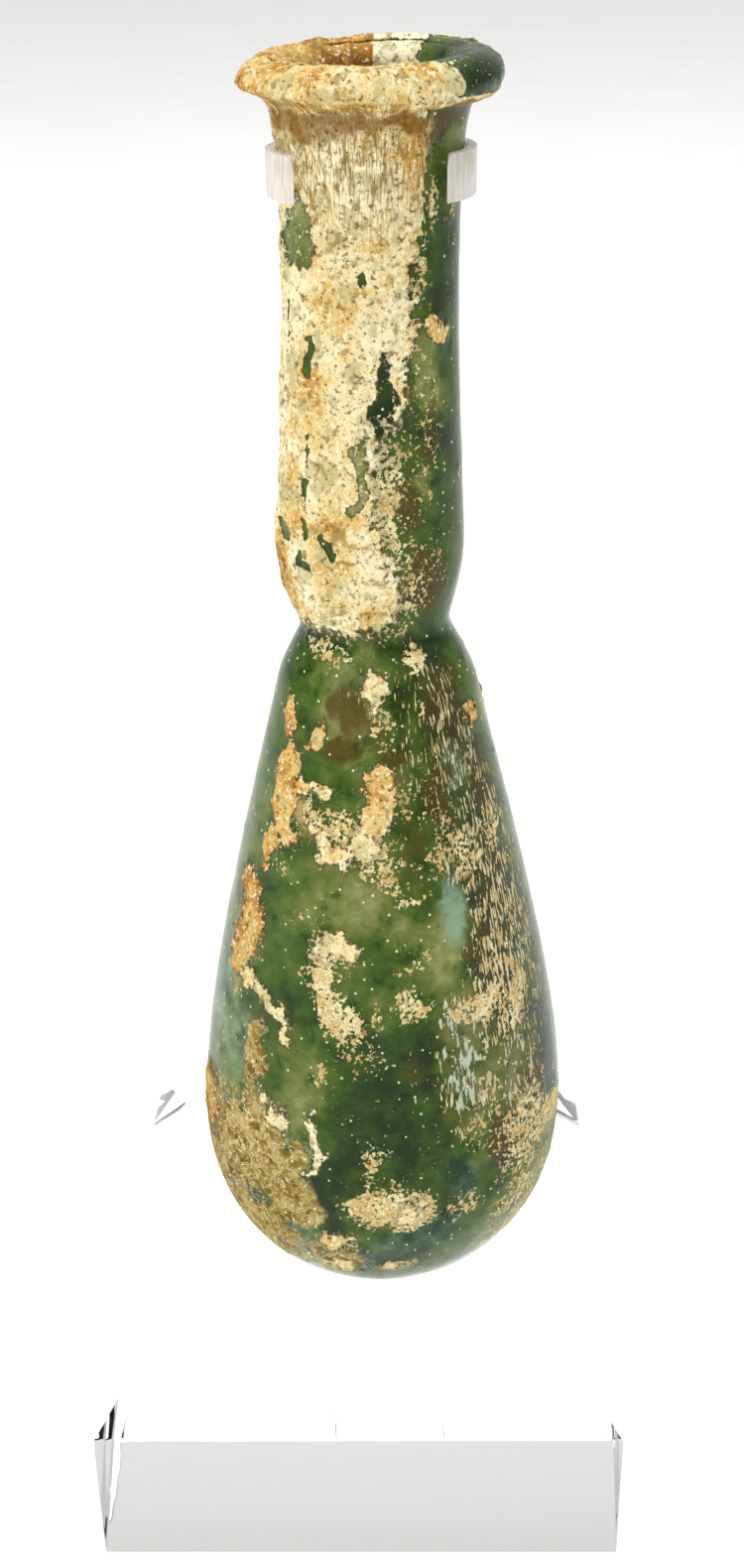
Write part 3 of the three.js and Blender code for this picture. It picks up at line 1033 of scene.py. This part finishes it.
def clearAcrylic():
    # Cast acrylic (PMMA), sawn and flame-polished: water clear, a mirror-smooth skin with the
    # faintest waviness. The eye sees it by its edges and by what it bends. Its index is set
    # below acrylic's own 1.49, which turns the bevels black in a white tent.
    material, tree = newMaterial("cast_acrylic_clear")
    place = addNode(tree, "ShaderNodeTexCoord").outputs["Object"]
    waves = addNode(tree, "ShaderNodeTexNoise", {
        "Vector": place, "Scale": 1000 / 9.0, "Detail": 1.0})
    skin = addNode(tree, "ShaderNodeBump", {
        "Height": waves.outputs[0], "Strength": 0.06, "Distance": 0.3 * mm})
    shader = addNode(tree, "ShaderNodeBsdfPrincipled", {
        "Base Color": "#ffffff", "Roughness": 0.01, "IOR": 1.31,
        "Transmission Weight": 1.0, "Normal": skin.outputs[0]})
    addNode(tree, "ShaderNodeOutputMaterial", {"Surface": shader.outputs[0]})
    return material


def satinAcrylic():
    # The same acrylic as the cutter leaves it: satin, with fine upright scratches, so it looks
    # paler and half hides what is behind.
    material, tree = newMaterial("milled_acrylic_satin")
    place = addNode(tree, "ShaderNodeTexCoord").outputs["Object"]
    scratch = addNode(tree, "ShaderNodeMapping", {"Vector": place, "Scale": (1, 1, 0.15)})
    cuts = addNode(tree, "ShaderNodeTexNoise", {
        "Vector": scratch.outputs[0], "Scale": 1000 / 0.4, "Detail": 2.0})
    tone = addNode(tree, "ShaderNodeValToRGB", {0: cuts.outputs[0]},
                   stops=[(0.35, "#dcd5cc"), (0.6, "#fcf9f5")])
    skin = addNode(tree, "ShaderNodeBump", {
        "Height": cuts.outputs[0], "Strength": 0.3, "Distance": 0.1 * mm})
    shader = addNode(tree, "ShaderNodeBsdfPrincipled", {
        "Base Color": tone.outputs[0], "Roughness": 0.35, "IOR": 1.3,
        "Transmission Weight": 0.55, "Normal": skin.outputs[0]})
    addNode(tree, "ShaderNodeOutputMaterial", {"Surface": shader.outputs[0]})
    return material


def cornersOf(node):
    low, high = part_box(node)
    return [c / mm for c in low], [c / mm for c in high]


def roundedStrip(name, low, high, rounding):
    # an upright bar with its four standing edges rounded
    piece = addBox(name, low, high)
    bpy.ops.object.mode_set(mode="EDIT")
    bpy.ops.mesh.select_mode(type="EDGE")
    bpy.ops.mesh.select_all(action="DESELECT")
    bpy.ops.object.mode_set(mode="OBJECT")
    for edge in piece.data.edges:
        a, b = (piece.data.vertices[i].co for i in edge.vertices)
        edge.select = abs(a.z - b.z) > 1 * mm
    bpy.ops.object.mode_set(mode="EDIT")
    bpy.ops.mesh.bevel(offset=rounding * mm, segments=5, affect="EDGES")
    bpy.ops.object.mode_set(mode="OBJECT")
    return piece


def makeBlock(material):
    low, high = cornersOf("stand_block")
    shoulder = high[2] - block["bevelRise"]
    piece = addBox("acrylic_block", low, (high[0], high[1], shoulder))
    bpy.ops.object.mode_set(mode="EDIT")
    pick(piece, lambda p: abs(p.z - shoulder) < 0.01, "FACE")
    bpy.ops.mesh.extrude_region_move(
        TRANSFORM_OT_translate={"value": (0, 0, block["bevelRise"] * mm)})
    shrink = [1 - 2 * block["bevelInset"] / (high[i] - low[i]) for i in (0, 1)]
    middle = ((low[0] + high[0]) / 2 * mm, (low[1] + high[1]) / 2 * mm, high[2] * mm)
    bpy.ops.transform.resize(value=(shrink[0], shrink[1], 1), center_override=middle)
    bpy.ops.object.mode_set(mode="OBJECT")
    polishEdges(piece, block["polish"], 3, 15)

    postLow, postHigh = cornersOf("stand_post")
    gap = block["touchGap"]
    hole = roundedStrip("slot", (postLow[0] - gap, postLow[1] - gap, high[2] - block["slotDepth"]),
                        (postHigh[0] + gap, postHigh[1] + gap, high[2] + block["slotAbove"]),
                        block["slotRounding"])
    cutOrJoin(piece, hole, "DIFFERENCE")
    finishClear(piece, "stand_block", material)


def makePost(material):
    low, high = cornersOf("stand_post")
    piece = roundedStrip("acrylic_post", low, high, block["postRounding"])
    polishEdges(piece, block["postPolish"], 2, 60)
    finishClear(piece, "stand_post", material)


def makeClip(material):
    low, high = cornersOf("neck_clip")
    neckX = bottle["middle"][0] + clip["neckShift"]
    neckY = bottle["middle"][1]
    inner = clip["innerRadius"]
    outer = inner + clip["ringWidth"]
    postLow, postHigh = cornersOf("stand_post")
    piece = addRod("acrylic_neck_clip", neckX, neckY, outer, low[2], high[2])
    tongue = addBox("tongue", (postLow[0], neckY, low[2]), (postHigh[0], high[1], high[2]))
    cutOrJoin(piece, tongue, "UNION")
    spare = clip["spare"]
    bore = addRod("bore", neckX, neckY, inner, low[2] - spare, high[2] + spare)
    cutOrJoin(piece, bore, "DIFFERENCE")
    half = clip["mouthHalfWidth"]
    mouth = addBox("mouth", (neckX - half, neckY - outer - 2 * spare, low[2] - spare),
                   (neckX + half, neckY - spare, high[2] + spare))
    cutOrJoin(piece, mouth, "DIFFERENCE")
    # the upper inner corner of each tip is rounded
    selectOnly(piece)
    bpy.ops.object.mode_set(mode="EDIT")
    pick(piece, lambda p: abs(abs(p.x - neckX) - half) < 0.02 and abs(p.z - high[2]) < 0.02
         and p.y < neckY, "EDGE")
    bpy.ops.mesh.bevel(offset=clip["tipRounding"] * mm, segments=6, affect="EDGES")
    bpy.ops.object.mode_set(mode="OBJECT")
    polishEdges(piece, clip["polish"], 2, 40)
    finishClear(piece, "neck_clip", material)


def finishClear(piece, node, material):
    selectOnly(piece)
    bpy.ops.object.mode_set(mode="EDIT")
    bpy.ops.mesh.select_all(action="SELECT")
    bpy.ops.mesh.remove_doubles(threshold=0.000002)
    bpy.ops.mesh.normals_make_consistent(inside=False)
    bpy.ops.object.mode_set(mode="OBJECT")
    bpy.ops.object.shade_smooth_by_angle(angle=math.radians(25))
    piece.data.materials.clear()
    piece.data.materials.append(material)
    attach(piece, "root")
    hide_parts(node)
    print(node, len(piece.data.polygons), "faces")


def makeStand():
    material = clearAcrylic()
    makeBlock(material)
    makePost(material)
    makeClip(satinAcrylic())
    # light passes through clear acrylic, so the stand casts no shadow in the lamps' light
    clearPieces = bpy.data.collections.new("clear pieces")
    for name in ("acrylic_block", "acrylic_post", "acrylic_neck_clip"):
        clearPieces.objects.link(bpy.data.objects[name])
    for entry in clearPieces.collection_objects:
        entry.light_linking.link_state = "EXCLUDE"
    for lamp in [o for o in bpy.data.objects if o.type == "LIGHT"]:
        lamp.light_linking.blocker_collection = clearPieces


makeBottle()
makeStand()
